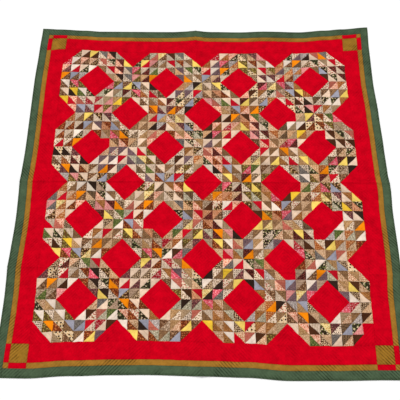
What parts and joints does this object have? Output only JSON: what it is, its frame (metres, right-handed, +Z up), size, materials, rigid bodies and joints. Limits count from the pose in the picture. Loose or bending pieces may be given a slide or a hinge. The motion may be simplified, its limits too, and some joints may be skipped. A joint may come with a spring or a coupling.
{
  "type": "scrap quilt",
  "caption": "Square pieced bed quilt laid flat, small scrap triangles around red diamonds, with red, ochre and green borders.",
  "frame": {"origin": "middle of the quilt's underside, where it rests", "axes": "+X to the right edge, +Y to the far edge, +Z up out of the right side of the cloth"},
  "size_m": [1.9486, 1.9566, 0.0117],
  "materials": {
    "patchwork_cotton": "matt printed and plain cotton scraps",
    "turkey_red_cotton": "matt plain weave cotton, bright red",
    "ochre_cotton": "matt plain weave cotton, golden ochre",
    "olive_ochre_cotton": "matt plain weave cotton, olive ochre",
    "green_cotton": "matt plain weave cotton, grey green"
  },
  "bodies": {
    "root": {"centre_panel": "patchwork_cotton", "red_border_near": "turkey_red_cotton", "red_border_far": "turkey_red_cotton", "red_border_left": "turkey_red_cotton", "red_border_right": "turkey_red_cotton", "ochre_strip_near": "ochre_cotton", "ochre_strip_far": "ochre_cotton", "ochre_strip_left": "ochre_cotton", "ochre_strip_right": "ochre_cotton", "green_border_near": "green_cotton", "green_border_far": "green_cotton", "green_border_left": "green_cotton", "green_border_right": "green_cotton", "binding_near": "green_cotton", "binding_far": "green_cotton", "binding_left": "green_cotton", "binding_right": "green_cotton", "corner_square_near_left": "olive_ochre_cotton", "corner_square_near_right": "olive_ochre_cotton", "corner_square_far_left": "olive_ochre_cotton", "corner_square_far_right": "olive_ochre_cotton", "corner_red_end_near_left": "turkey_red_cotton", "corner_red_end_near_right": "turkey_red_cotton", "corner_red_end_far_left": "turkey_red_cotton", "corner_red_end_far_right": "turkey_red_cotton", "corner_red_side_near_left": "turkey_red_cotton", "corner_red_side_near_right": "turkey_red_cotton", "corner_red_side_far_left": "turkey_red_cotton", "corner_red_side_far_right": "turkey_red_cotton", "corner_spot_near_left": "ochre_cotton", "corner_spot_near_right": "ochre_cotton", "corner_spot_far_left": "ochre_cotton", "corner_spot_far_right": "ochre_cotton"}
  },
  "joints": []
}
